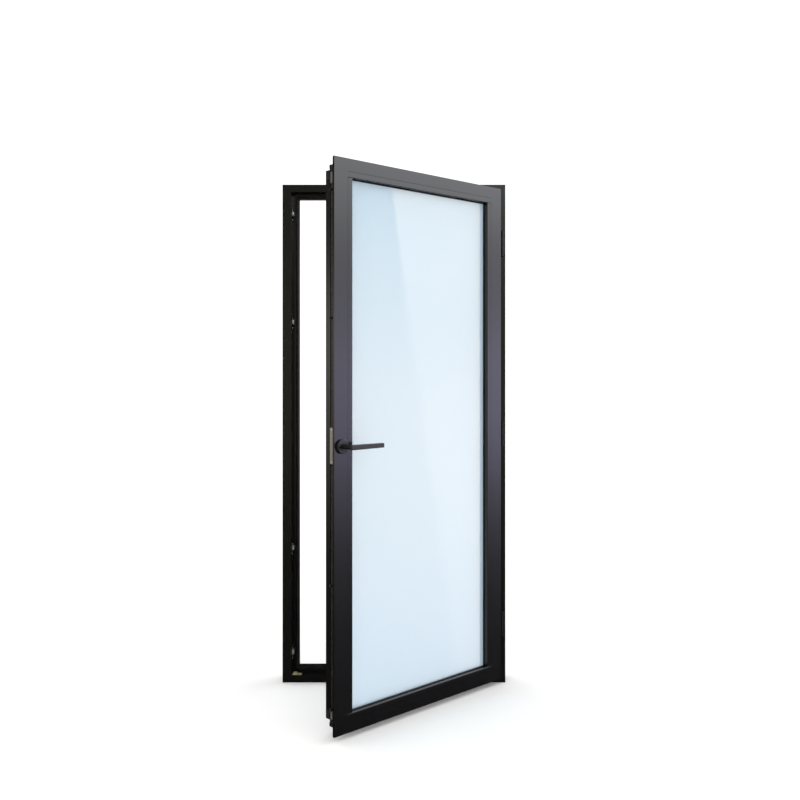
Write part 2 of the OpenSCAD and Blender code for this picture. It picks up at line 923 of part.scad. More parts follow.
// Rounded rectangle about the origin
module rounded(w, h, r) {
    square([w, h - 2 * r], center = true);
    square([w - 2 * r, h], center = true);
    for (x = [-1, 1], y = [-1, 1])
        translate([x * (w / 2 - r), y * (h / 2 - r)]) circle(r);
}

// Neck and grip, cast in one piece
module lever() {
    out = leaf_y - lever_reach;
    color(black) opened() difference() {
        union() {
            rod_y(neck_r, handle_x, handle_z, [out, leaf_y - 0.5]);
            translate([handle_x + (lever_l - neck_r) / 2, out, handle_z]) rotate([90, 0, 90])
                linear_extrude(lever_l + neck_r, center = true)
                    rounded(lever_d, lever_h, lever_round);
        }
        translate([handle_x, leaf_y - spindle_depth / 2, handle_z])
            cube([spindle_w + snug, spindle_depth + 2 * over, spindle_w + snug], center = true);
    }
}

module spindle() {
    color(steel) opened()
        span([handle_x - spindle_w / 2, handle_x + spindle_w / 2],
            [leaf_y - spindle_depth, leaf_y + case_t[1] - 0.4],
            [handle_z - spindle_w / 2, handle_z + spindle_w / 2]);
}

// ---- Nodes ----

jamb_lock();
jamb_hinge();
head();
sill();
frame_cleat(false, false);  // frame_cleat_1
frame_cleat(true, false);  // frame_cleat_2
frame_cleat(false, true);  // frame_cleat_3
frame_cleat(true, true);  // frame_cleat_4
stop_seal();
for (i = [0:3]) keep(keep_z[i]);
keep_screws();
run_up_block();
run_up_screw();
for (i = [0:2]) {
    hinge_frame_plate(hinge_z[i]);
    hinge_leaf_plate(hinge_z[i]);
}
hinge_pins();
hinge_bushes();
hinge_frame_screws();
hinge_leaf_screws();
stile_lock();
stile_hinge();
rail_top();
rail_bottom();
spigot(false, false);  // spigot_1
spigot(true, false);  // spigot_2
spigot(false, true);  // spigot_3
spigot(true, true);  // spigot_4
spigot_screws();
rail_end_plugs();
bead_lock();
bead_hinge();
bead_top();
bead_bottom();
pane_front();
pane_back();
spacer_bar();
edge_sealant();
setting_blocks();
gasket_front();
gasket_back();
flange_seal();
gearbox_case();
faceplate();
faceplate_screws();
rod_guides();
rose_base();
rose_cover();
rose_screws();
lever();
spindle();
pinion();
drive_rod();
cams();
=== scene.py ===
import json
import math

import bmesh
import bpy
from mathutils import Matrix, Vector


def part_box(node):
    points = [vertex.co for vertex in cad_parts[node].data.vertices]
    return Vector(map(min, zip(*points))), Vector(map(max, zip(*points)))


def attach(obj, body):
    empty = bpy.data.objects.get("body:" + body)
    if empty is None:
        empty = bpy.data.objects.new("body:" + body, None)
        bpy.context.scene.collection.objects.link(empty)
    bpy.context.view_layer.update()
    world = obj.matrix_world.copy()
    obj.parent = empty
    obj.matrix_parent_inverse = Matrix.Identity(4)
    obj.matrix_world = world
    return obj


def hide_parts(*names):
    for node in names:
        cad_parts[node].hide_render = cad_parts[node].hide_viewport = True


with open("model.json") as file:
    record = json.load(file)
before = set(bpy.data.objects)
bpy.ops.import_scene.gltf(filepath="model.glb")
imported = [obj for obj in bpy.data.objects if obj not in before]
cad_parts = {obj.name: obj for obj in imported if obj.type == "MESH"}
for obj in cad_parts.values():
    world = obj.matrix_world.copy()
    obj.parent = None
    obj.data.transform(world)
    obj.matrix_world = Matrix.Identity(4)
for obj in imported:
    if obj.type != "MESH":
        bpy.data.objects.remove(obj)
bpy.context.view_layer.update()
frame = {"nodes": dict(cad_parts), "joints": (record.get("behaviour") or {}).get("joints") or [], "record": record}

mm = 0.001
nodes = frame["nodes"]
record = frame["record"]
slotOf = {part["node"]: part["material_slot"] for part in record["subparts"]}
bodyOf = {node: body for body, group in record["behaviour"]["bodies"].items() for node in group}

# The leaf is easier to work on shut, so its pieces are made shut and then swung open
swing = {joint["name"]: joint for joint in frame["joints"]}["door_swing"]
hingeLine = Vector(swing["pos_m"])
openAngle = -math.radians(swing["range_deg"][0])
turned = Matrix.Translation(hingeLine) @ Matrix.Rotation(openAngle, 4, "Z")
swingOpen = turned @ Matrix.Translation(-hingeLine)
swingShut = swingOpen.inverted()


def linear(hexColour):
    # sRGB hex to the linear values that the shaders want
    parts = [int(hexColour[i:i + 2], 16) / 255 for i in (1, 3, 5)]
    return tuple(p / 12.92 if p <= 0.04045 else ((p + 0.055) / 1.055) ** 2.4 for p in parts) + (1.0,)


def addNode(tree, kind, settings=None, links=None):
    # lower-case names are the node's own settings, the others are its sockets
    node = tree.nodes.new("ShaderNode" + kind)
    for name, value in (settings or {}).items():
        if isinstance(name, str) and name.islower():
            setattr(node, name, value)
        else:
            node.inputs[name].default_value = value
    for name, source in (links or {}).items():
        tree.links.new(source, node.inputs[name])
    return node


def newMaterial(name, settings):
    # the even values go straight on the shader, and patterns start from Object coordinates
    material = bpy.data.materials.new(name)
    material.use_nodes = True
    tree = material.node_tree
    tree.nodes.clear()
    shader = addNode(tree, "BsdfPrincipled", settings)
    addNode(tree, "OutputMaterial", {}, {"Surface": shader.outputs[0]})
    place = addNode(tree, "TexCoord").outputs["Object"]
    return material, tree, shader, place


def dress(tree, shader, look, tone, skin, relief):
    # every finish ends this way: two tones, a range of roughness and a relief, each led by its own
    # pattern. Noise gathers near a half, so its middle part is what gets spread over the range.
    tones = {"data_type": "RGBA", 6: linear(look["dark"]), 7: linear(look["light"])}
    mix = addNode(tree, "Mix", tones, {0: tone})
    low, high = look["roughness"]
    limits = {"From Min": 0.3, "From Max": 0.7, "To Min": low, "To Max": high}
    spread = addNode(tree, "MapRange", limits, {0: skin})
    height = {"Distance": look["depth"], "Strength": look["strength"]}
    bump = addNode(tree, "Bump", height, {"Height": relief})
    tree.links.new(mix.outputs[2], shader.inputs["Base Color"])
    tree.links.new(spread.outputs[0], shader.inputs["Roughness"])
    tree.links.new(bump.outputs[0], shader.inputs["Normal"])


powderCoat = {
    "dark": "#0d0c0c",
    "light": "#131212",
    "roughness": (0.17, 0.23),
    "depth": 0.03 * mm,
    "strength": 0.3,
    "clouding": 160 * mm,
    "grain": 0.9 * mm,          # the real grain is 0.3 mm, drawn coarser so that it shows
}


def makePowderCoat():
    # satin polyester powder coat on extruded aluminium: nearly black, with a soft, slightly
    # pebbled sheen that picks up whatever light stands beside it
    material, tree, shader, place = newMaterial("satinBlackPowderCoat", {"IOR": 1.5})
    cloudy = {"Scale": 1 / powderCoat["clouding"]}
    clouds = addNode(tree, "TexNoise", cloudy, {"Vector": place}).outputs[0]
    grain = addNode(tree, "TexNoise", {"Scale": 1 / powderCoat["grain"]}, {"Vector": place}).outputs[0]
    dress(tree, shader, powderCoat, clouds, grain, grain)
    return material


stovedZinc = {
    "dark": "#0d0d0d",
    "light": "#161515",
    "roughness": (0.38, 0.46),
    "depth": 0.02 * mm,
    "strength": 0.25,
    "rub": 25 * mm,
    "grain": 0.6 * mm,
}


def makeStovedZinc():
    # die-cast zinc with a fine stoved coat: duller than the profiles, shinier where hands rub it
    material, tree, shader, place = newMaterial("blackStovedZinc", {"IOR": 1.5})
    rubbing = {"Scale": 1 / stovedZinc["rub"], "Detail": 3.0}
    rub = addNode(tree, "TexNoise", rubbing, {"Vector": place}).outputs[0]
    grain = addNode(tree, "TexNoise", {"Scale": 1 / stovedZinc["grain"]}, {"Vector": place}).outputs[0]
    dress(tree, shader, stovedZinc, rub, rub, grain)
    return material


hingeCoat = {
    "dark": "#0b0b0b",
    "light": "#121212",
    "roughness": (0.45, 0.56),
    "depth": 0.02 * mm,
    "strength": 0.25,
    "cloud": 12 * mm,
    "grain": 0.6 * mm,
}


def makeHingeCoat():
    # dipped matt black on the steel hinges: it hardly shines, so their barrels stay quiet
    even = {"IOR": 1.5, "Specular IOR Level": 0.15}
    material, tree, shader, place = newMaterial("mattBlackDipCoat", even)
    cloud = addNode(tree, "TexNoise", {"Scale": 1 / hingeCoat["cloud"]}, {"Vector": place}).outputs[0]
    grain = addNode(tree, "TexNoise", {"Scale": 1 / hingeCoat["grain"]}, {"Vector": place}).outputs[0]
    dress(tree, shader, hingeCoat, cloud, grain, grain)
    return material


sealRubber = {
    "dark": "#050505",
    "light": "#0b0b0c",
    "roughness": (0.62, 0.8),
    "depth": 0.05 * mm,
    "strength": 0.3,
    "bloom": 70 * mm,
    "stipple": 0.7 * mm,
}


def makeSealRubber():
    # extruded EPDM: the deepest black here, dull, with a faint grey bloom
    material, tree, shader, place = newMaterial("extrudedSealRubber", {"IOR": 1.5})
    blooming = {"Scale": 1 / sealRubber["bloom"], "Detail": 3.0}
    bloom = addNode(tree, "TexNoise", blooming, {"Vector": place}).outputs[0]
    stippling = {"Scale": 1 / sealRubber["stipple"]}
    stipple = addNode(tree, "TexNoise", stippling, {"Vector": place}).outputs[0]
    dress(tree, shader, sealRubber, bloom, stipple, stipple)
    return material


floatGlass = {
    "dark": "#e9f3f8",
    "light": "#ecf5f9",
    "rollerWave": 260 * mm,
    "depth": 0.02 * mm,
    "strength": 0.3,
}


def makeFloatGlass():
    # clear float glass: sharp reflections with the faint bend that the tempering rollers leave
    even = {"IOR": 1.5, "Roughness": 0.0, "Transmission Weight": 1.0}
    material, tree, shader, place = newMaterial("clearFloatGlass", even)
    waving = {"Scale": 1 / floatGlass["rollerWave"], "Detail": 0.0}
    wave = addNode(tree, "TexNoise", waving, {"Vector": place})
    tones = {"data_type": "RGBA", 6: linear(floatGlass["dark"]), 7: linear(floatGlass["light"])}
    mix = addNode(tree, "Mix", tones, {0: wave.outputs[0]})
    relief = {"Distance": floatGlass["depth"], "Strength": floatGlass["strength"]}
    bump = addNode(tree, "Bump", relief, {"Height": wave.outputs[0]})
    tree.links.new(mix.outputs[2], shader.inputs["Base Color"])
    tree.links.new(bump.outputs[0], shader.inputs["Normal"])
    return material


opalGlass = {
    "dark": "#cde3f0",
    "light": "#d1e6f2",
    "clearShare": 0.35,         # the rest of the light is scattered back
    "roughness": (0.5, 0.62),
    "depth": 0.03 * mm,
    "strength": 0.15,
    "cloud": 300 * mm,
    "grain": 1.5 * mm,          # the real scattering is far finer than can be drawn
}


def makeOpalGlass():
    # pale blue opal glass with a polished face: it glows evenly and lets no outline through, and
    # over that it has the sharp reflections of any window
    even = {"IOR": 1.5, "Transmission Weight": opalGlass["clearShare"], "Coat Weight": 1.0,
            "Coat Roughness": 0.0, "Coat IOR": 1.5}
    material, tree, shader, place = newMaterial("polishedBlueOpalGlass", even)
    cloud = addNode(tree, "TexNoise", {"Scale": 1 / opalGlass["cloud"]}, {"Vector": place}).outputs[0]
    grain = addNode(tree, "TexNoise", {"Scale": 1 / opalGlass["grain"]}, {"Vector": place}).outputs[0]
    dress(tree, shader, opalGlass, cloud, grain, grain)
    return material


zincPlate = {
    "dark": "#b3b0a8",
    "light": "#dddad2",
    "roughness": (0.3, 0.46),
    "depth": 0.02 * mm,
    "strength": 0.2,
    "mottle": 4 * mm,
    "grain": 0.5 * mm,
}


def makeZincPlate():
    # bright zinc plate on cast or pressed parts, part metal and part its chalky passivation:
    # pale, warm and mottled
    material, tree, shader, place = newMaterial("brightZincPlate", {"Metallic": 0.55})
    mottling = {"Scale": 1 / zincPlate["mottle"], "Detail": 3.0}
    mottle = addNode(tree, "TexNoise", mottling, {"Vector": place}).outputs[0]
    grain = addNode(tree, "TexNoise", {"Scale": 1 / zincPlate["grain"]}, {"Vector": place}).outputs[0]
    dress(tree, shader, zincPlate, mottle, mottle, grain)
    return material


brushedSteel = {
    "dark": "#a19b94",
    "light": "#d2ccc3",
    "roughness": (0.28, 0.46),
    "depth": 0.02 * mm,
    "strength": 0.35,
    "line": 0.35 * mm,
    "stretch": (1.0, 1.0, 0.02),
}


def makeBrushedSteel():
    # stainless strip brushed along its length, so the streaks run up and down
    material, tree, shader, place = newMaterial("brushedStainlessSteel", {"Metallic": 1.0})
    along = addNode(tree, "Mapping", {"Scale": brushedSteel["stretch"]}, {"Vector": place}).outputs[0]
    streaks = {"Scale": 1 / brushedSteel["line"], "Detail": 3.0}
    lines = addNode(tree, "TexNoise", streaks, {"Vector": along}).outputs[0]
    dress(tree, shader, brushedSteel, lines, lines, lines)
    return material


galvanisedSteel = {
    "dark": "#55544f",
    "light": "#86847e",
    "roughness": (0.42, 0.6),
    "depth": 0.01 * mm,
    "strength": 0.2,
    "spangle": 5 * mm,
}


def makeGalvanisedSteel():
    # galvanised strip steel: dull grey with small crystals of different tone
    material, tree, shader, place = newMaterial("galvanisedStripSteel", {"Metallic": 1.0})
    cells = addNode(tree, "TexVoronoi", {"Scale": 1 / galvanisedSteel["spangle"]}, {"Vector": place})
    tone = addNode(tree, "SeparateColor", {}, {0: cells.outputs["Color"]}).outputs[0]
    dress(tree, shader, galvanisedSteel, tone, tone, tone)
    return material


sandCast = {
    "dark": "#85847f",
    "light": "#a9a8a3",
    "roughness": (0.5, 0.68),
    "depth": 0.15 * mm,
    "strength": 0.5,
    "sand": 1.2 * mm,
}


def makeSandCast():
    # raw cast aluminium of the corner pieces: light grey with a sandy skin
    material, tree, shader, place = newMaterial("rawCastAluminium", {"Metallic": 1.0})
    grit = {"Scale": 1 / sandCast["sand"], "Detail": 4.0}
    sand = addNode(tree, "TexNoise", grit, {"Vector": place}).outputs[0]
    dress(tree, shader, sandCast, sand, sand, sand)
    return material


# Moulded parts share one recipe, in their own colours
mouldings = {
    "grey_guide": {
        "name": "greyAcetal", "dark": "#4c4b47", "light": "#5d5b57", "roughness": (0.4, 0.5)},
    "black_plastic": {
        "name": "blackNylon", "dark": "#121212", "light": "#1c1c1c", "roughness": (0.45, 0.6)},
    "tan_plastic": {
        "name": "tanNylon", "dark": "#8a8258", "light": "#98906a", "roughness": (0.4, 0.52)},
    "spacer": {
        "name": "darkSpacerPlastic", "dark": "#1d1d1d", "light": "#292929", "roughness": (0.5, 0.62)},
}
moulded = {
    "depth": 0.04 * mm,
    "strength": 0.3,
    "flow": 30 * mm,
    "stipple": 0.8 * mm,
}


def makeMoulded(look):
    # injection-moulded nylon or acetal: an even tone with a fine spark-eroded stipple
    material, tree, shader, place = newMaterial(look["name"], {"IOR": 1.53})
    flowing = {"Scale": 1 / moulded["flow"], "Detail": 3.0}
    flow = addNode(tree, "TexNoise", flowing, {"Vector": place}).outputs[0]
    stipple = addNode(tree, "TexNoise", {"Scale": 1 / moulded["stipple"]}, {"Vector": place}).outputs[0]
    dress(tree, shader, {**moulded, **look}, flow, stipple, stipple)
    return material


finishes = {
    "painted_profile": makePowderCoat(),
    "black_hardware": makeStovedZinc(),
    "black_rubber": makeSealRubber(),
    "clear_glass": makeFloatGlass(),
    "satin_glass": makeOpalGlass(),
    "zinc_keep": makeZincPlate(),
    "brushed_faceplate": makeBrushedSteel(),
    "steel_gear": makeGalvanisedSteel(),
    "cast_cleat": makeSandCast(),
}
finishes["steel_screw"] = finishes["zinc_keep"]
for slotName, look in mouldings.items():
    finishes[slotName] = makeMoulded(look)
finishOf = {node: finishes[slotOf[node]] for node in nodes}
hingeFinish = makeHingeCoat()
for node in nodes:
    if node.startswith("hinge_") and slotOf[node] == "black_hardware":
        finishOf[node] = hingeFinish
for node, thing in nodes.items():
    thing.data.materials.clear()
    thing.data.materials.append(finishOf[node])
print("materials on", len(nodes), "nodes")


skinRules = {
    "weld": 0.002 * mm,
    "flat": math.radians(0.5),      # triangles this close to one plane become one face again
    "anyShape": math.radians(180),
    "sharp": 30,                    # degrees across an edge, from which it is eased
}


def mergedCopy(node):
    # a node's mesh as one skin, with its flat faces whole again where that is safe
    mesh = bmesh.new()
    mesh.from_mesh(nodes[node].data)
    bmesh.ops.remove_doubles(mesh, verts=mesh.verts, dist=skinRules["weld"])
    bmesh.ops.join_triangles(mesh, faces=mesh.faces, angle_face_threshold=skinRules["flat"],
                             angle_shape_threshold=skinRules["anyShape"])
    return mesh


def sharpEdges(mesh, least=skinRules["sharp"]):
    folds = [e for e in mesh.edges if len(e.link_faces) == 2]
    return [e for e in folds if e.calc_face_angle(0) > math.radians(least)]


def roundEdges(mesh, edges, width, segments=2):
    bmesh.ops.bevel(mesh, geom=edges, offset=width, segments=segments, profile=0.5,
                    affect="EDGES", material=-1, clamp_overlap=True, loop_slide=False)


def finishPiece(mesh, name, node, smoothAngle=35, slotName=None):
    # makes the object, which takes the node's body and finish
    finish = finishes[slotName] if slotName else finishOf[node]
    for face in mesh.faces:
        face.smooth = True
    for edge in mesh.edges:
        edge.smooth = len(edge.link_faces) != 2 or edge.calc_face_angle(0) < math.radians(smoothAngle)
    data = bpy.data.meshes.new(name)
    mesh.to_mesh(data)
    mesh.free()
    data.materials.append(finish)
    piece = bpy.data.objects.new(name, data)
    bpy.context.scene.collection.objects.link(piece)
    evenShade = piece.modifiers.new("evenShade", "WEIGHTED_NORMAL")
    evenShade.keep_sharp = True
    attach(piece, bodyOf[node])
    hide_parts(node)
    slotName or slotOf[node]
    return piece


def camel(node):
    first, *rest = node.split("_")
    return first + "".join(word.capitalize() for word in rest)


# Width of the eased edge, in mm, on each piece that is right apart from its knife edges
easedEdges = {
    "jamb_lock": 0.5, "jamb_hinge": 0.5, "head": 0.5, "sill": 0.5,
    "stile_lock": 0.8, "stile_hinge": 0.8, "rail_top": 0.8, "rail_bottom": 0.8,
    "bead_lock": 1.1, "bead_hinge": 1.1, "bead_top": 1.1, "bead_bottom": 1.1,
    "gasket_front": 1.2, "gasket_back": 1.2, "flange_seal": 1.2, "stop_seal": 1.0,
    "pane_front": 0.6, "pane_back": 0.6, "faceplate": 0.3, "rod_guides": 0.4,
    "run_up_block": 0.7, "rail_end_plugs": 0.4, "hinge_pins": 0.8, "rose_cover": 0.6,
    "hinge_frame_plate_1": 0.4, "hinge_frame_plate_2": 0.4, "hinge_frame_plate_3": 0.4,
    "hinge_leaf_plate_1": 0.4, "hinge_leaf_plate_2": 0.4, "hinge_leaf_plate_3": 0.4,
}
for node, width in easedEdges.items():
    mesh = mergedCopy(node)
    roundEdges(mesh, sharpEdges(mesh), width * mm)
    finishPiece(mesh, camel(node), node)
print("eased", len(easedEdges), "pieces")


keepShape = {
    "plate": 1.5 * mm,          # thickness of the plate under the hook
    "plateSlot": "black_hardware",
    "camBehind": 16 * mm,       # from the keep's front edge to the middle of its cam
    "camAbove": 28 * mm,        # and from its foot
    "rimReach": 9 * mm,         # what lies further out than this is the rim's outside
    "rimRound": 4.0 * mm,
    "rimSteps": 4,
    "edge": 0.4 * mm,
    "squareEdge": 50,           # degrees, so that only true corners are eased
    "near": 0.05 * mm,
    "cut": 0.01 * mm,
}


def makeKeep(node):
    # a bright cast hook with a full round rim, which catches the light, on a black plate
    low, high = [Vector(corner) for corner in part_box(node)]
    middle = Vector((high.x, low.y + keepShape["camBehind"], low.z + keepShape["camAbove"]))
    seam = Vector((low.x + keepShape["plate"], 0, 0))
    for part, side in (("Plate", 1), ("Hook", -1)):
        mesh = mergedCopy(node)
        whole = mesh.verts[:] + mesh.edges[:] + mesh.faces[:]
        bmesh.ops.bisect_plane(mesh, geom=whole, dist=keepShape["cut"], plane_co=seam,
                               plane_no=(side, 0, 0), clear_outer=True)
        bmesh.ops.holes_fill(mesh, edges=[e for e in mesh.edges if e.is_boundary])
        if part == "Hook":
            rim = []
            for edge in sharpEdges(mesh):
                points = [v.co for v in edge.verts]
                onTop = all(abs(p.x - high.x) < keepShape["near"] for p in points)
                away = ((points[0] + points[1]) / 2 - middle).yz.length
                if onTop and away > keepShape["rimReach"]:
                    rim.append(edge)
            roundEdges(mesh, rim, keepShape["rimRound"], keepShape["rimSteps"])
            finishPiece(mesh, camel(node) + part, node)
        else:
            roundEdges(mesh, sharpEdges(mesh, keepShape["squareEdge"]), keepShape["edge"], 1)
            finishPiece(mesh, camel(node) + part, node, slotName=keepShape["plateSlot"])


for i in (1, 2, 3, 4):
    makeKeep(f"keep_{i}")
print("keeps done")


leverShape = {
    "round": 1.1 * mm,
    "steps": 3,
    "squareEdge": 50,           # degrees, as on the keeps
    "tipShare": 0.87,           # height of the grip at its tip against that at its neck
}


def makeLever():
    # the grip narrows evenly to its tip, and its ends are eased
    mesh = mergedCopy("lever")
    mesh.transform(swingShut)
    xs = [v.co.x for v in mesh.verts]
    zs = [v.co.z for v in mesh.verts]
    middle = (min(zs) + max(zs)) / 2
    edges = sharpEdges(mesh, leverShape["squareEdge"])
    roundEdges(mesh, edges, leverShape["round"], leverShape["steps"])
    start = min(xs) + (max(zs) - min(zs))
    for point in mesh.verts:
        along = max(0.0, (point.co.x - start) / (max(xs) - start))
        share = 1 - along * (1 - leverShape["tipShare"])
        point.co.z = middle + (point.co.z - middle) * share
    mesh.transform(swingOpen)
    finishPiece(mesh, "lever", "lever")


makeLever()
print("lever done")


# Which way the heads of each set of screws face, with the leaf shut, and what recess they have
screwSets = {
    "keep_screws": {"way": (1, 0, 0), "recess": "cross", "dome": 0.3},
    "run_up_screw": {"way": (0, 0, 1), "recess": "cross", "dome": 0.3},
    "hinge_frame_screws": {"way": (-1, 0, 0), "recess": "cross", "dome": 0.25},
    "hinge_leaf_screws": {"way": (1, 0, 0), "recess": "cross", "dome": 0.25},
    "faceplate_screws": {"way": (-1, 0, 0), "recess": "cross", "dome": 0.15},
    "cams": {"way": (-1, 0, 0), "recess": "hex", "dome": 0.12},
}
screwShape = {                  # shares of the head's height, or of the radius they stand beside
    "tipRadius": 0.7,
    "tipHeight": 0.3,
    "underRadius": 0.94,
    "underHeight": 0.1,
    "shoulderRadius": 0.88,
    "shoulderHeight": 0.35,
    "crownRadius": 0.66,
    "floorRadius": 0.92,
    "headFrom": 0.9,            # points further out than this belong to the head
    "axisTo": 0.2,              # and points nearer than this lie on the axis
    "smoothAngle": 30,
}
recessSizes = {
    "steps": 48,                # points round a head, enough for the corners of both recesses
    "crossReach": 0.5,          # shares of the head's radius
    "crossWaist": 0.18,
    "hexReach": 0.5,
    "depth": 0.6,               # share of the head's height
}


def islands(mesh):
    # the separate solids of a mesh, each as a list of its points, in the same order every time
    waiting = dict.fromkeys(mesh.verts)
    while waiting:
        found = [next(iter(waiting))]
        del waiting[found[0]]
        for point in found:
            for edge in point.link_edges:
                other = edge.other_vert(point)
                if other in waiting:
                    del waiting[other]
                    found.append(other)
        yield found


def recessRadius(kind, step):
    # how far the recess reaches at a step round the head, as a share of the head's radius
    if kind == "cross":
        onArm = step % (recessSizes["steps"] // 4) in (0, 1, recessSizes["steps"] // 4 - 1)
        return recessSizes["crossReach"] if onArm else recessSizes["crossWaist"]
    turn = math.tau * step / recessSizes["steps"]
    side = math.tau / 6
    return recessSizes["hexReach"] * math.cos(side / 2) / math.cos(turn % side - side / 2)


def addScrew(mesh, foot, way, sizes, look):
    # rings of points from the shank's tip to the floor of the recess, bridged in turn
    total, headRadius, headHeight, shankRadius = sizes
    under = total - headHeight
    dome = look["dome"] * headHeight
    floor = total - recessSizes["depth"] * headHeight
    shape = screwShape
    rings = [
        (0.0, shape["tipRadius"] * shankRadius, False),
        (shape["tipHeight"] * shankRadius, shankRadius, False),
        (under, shankRadius, False),
        (under, shape["underRadius"] * headRadius, False),
        (under + shape["underHeight"] * headHeight, headRadius, False),
        (total - dome, headRadius, False),
        (total - shape["shoulderHeight"] * dome, shape["shoulderRadius"] * headRadius, False),
        (total, shape["crownRadius"] * headRadius, False),
        (total, headRadius, True),
        (floor, shape["floorRadius"] * headRadius, True),
    ]
    turn = Vector((0, 0, 1)).rotation_difference(way).to_matrix().to_4x4()
    last = None
    for height, radius, isRecess in rings:
        isTip = last is None
        steps = recessSizes["steps"]
        ring = bmesh.ops.create_circle(mesh, segments=steps, radius=1.0, cap_ends=isTip)["verts"]
        for step, point in enumerate(ring):
            share = recessRadius(look["recess"], step) if isRecess else 1.0
            point.co = Vector((point.co.x * radius * share, point.co.y * radius * share, height))
        bmesh.ops.transform(mesh, matrix=Matrix.Translation(foot) @ turn, verts=ring)
        touching = dict.fromkeys(e for v in ring for e in v.link_edges)
        edges = [e for e in touching if all(v in ring for v in e.verts)]
        if last:
            bmesh.ops.bridge_loops(mesh, edges=last + edges)
        last = edges
    bmesh.ops.edgeloop_fill(mesh, edges=last)


def makeScrews(node, look):
    # finds each screw's place, length and radii on the node, and builds it again with its recess
    source = mergedCopy(node)
    onLeaf = bodyOf[node] != "outer_frame"
    if onLeaf:
        source.transform(swingShut)
    way = Vector(look["way"])
    mesh = bmesh.new()
    for solid in islands(source):
        points = [v.co.copy() for v in solid]
        heights = [p.dot(way) for p in points]
        middle = sum(points, Vector()) / len(points)
        acrossMiddle = middle - way * middle.dot(way)
        radii = [(p - way * p.dot(way) - acrossMiddle).length for p in points]
        headRadius = max(radii)
        headHeights = [h for h, r in zip(heights, radii) if r > screwShape["headFrom"] * headRadius]
        shankRadius = min(r for r in radii if r > screwShape["axisTo"] * headRadius)
        total = max(heights) - min(heights)
        sizes = (total, headRadius, max(headHeights) - min(headHeights), shankRadius)
        addScrew(mesh, acrossMiddle + way * min(heights), way, sizes, look)
    source.free()
    bmesh.ops.recalc_face_normals(mesh, faces=mesh.faces)
    if onLeaf:
        mesh.transform(swingOpen)
    finishPiece(mesh, camel(node), node, screwShape["smoothAngle"])


for node, look in screwSets.items():
    makeScrews(node, look)
print("screws done")


# It stands square to the frame, a little right of the middle and above mid height
lens = {
    "place": (0.191, -4.006, 1.335),
    "focal": 42.26,
    "shift": (-0.049, -0.0425),
}
cameraData = bpy.data.cameras.new("camera")
cameraData.sensor_width = 36
cameraData.lens = lens["focal"]
cameraData.shift_x, cameraData.shift_y = lens["shift"]
camera = bpy.data.objects.new("camera", cameraData)
camera.location = lens["place"]
camera.rotation_euler = (math.radians(90), 0, 0)
bpy.context.scene.collection.objects.link(camera)
bpy.context.scene.camera = camera


studio = {
    "backdrop": 1.2,            # what is seen directly and through clear glass
    "fill": 1.3,                # what lights the matt surfaces
    "floorSize": 14.0,
    "dark": "#f9f9f8",
    "light": "#fbfbfa",
    "cloud": 800 * mm,
}


def makeFloor():
    # pale matt studio floor, left out of the reflections so that the black stays black
    even = {"Roughness": 0.95, "Specular IOR Level": 0.0}
    material, tree, shader, place = newMaterial("paleStudioFloor", even)
    cloud = addNode(tree, "TexNoise", {"Scale": 1 / studio["cloud"]}, {"Vector": place})
    tones = {"data_type": "RGBA", 6: linear(studio["dark"]), 7: linear(studio["light"])}
    mix = addNode(tree, "Mix", tones, {0: cloud.outputs[0]})
    tree.links.new(mix.outputs[2], shader.inputs["Base Color"])
    mesh = bmesh.new()
    bmesh.ops.create_grid(mesh, x_segments=4, y_segments=4, size=studio["floorSize"] / 2)
    data = bpy.data.meshes.new("floor")
    mesh.to_mesh(data)
    mesh.free()
    data.materials.append(material)
    floor = bpy.data.objects.new("floor", data)
    bpy.context.scene.collection.objects.link(floor)
    floor.visible_glossy = False


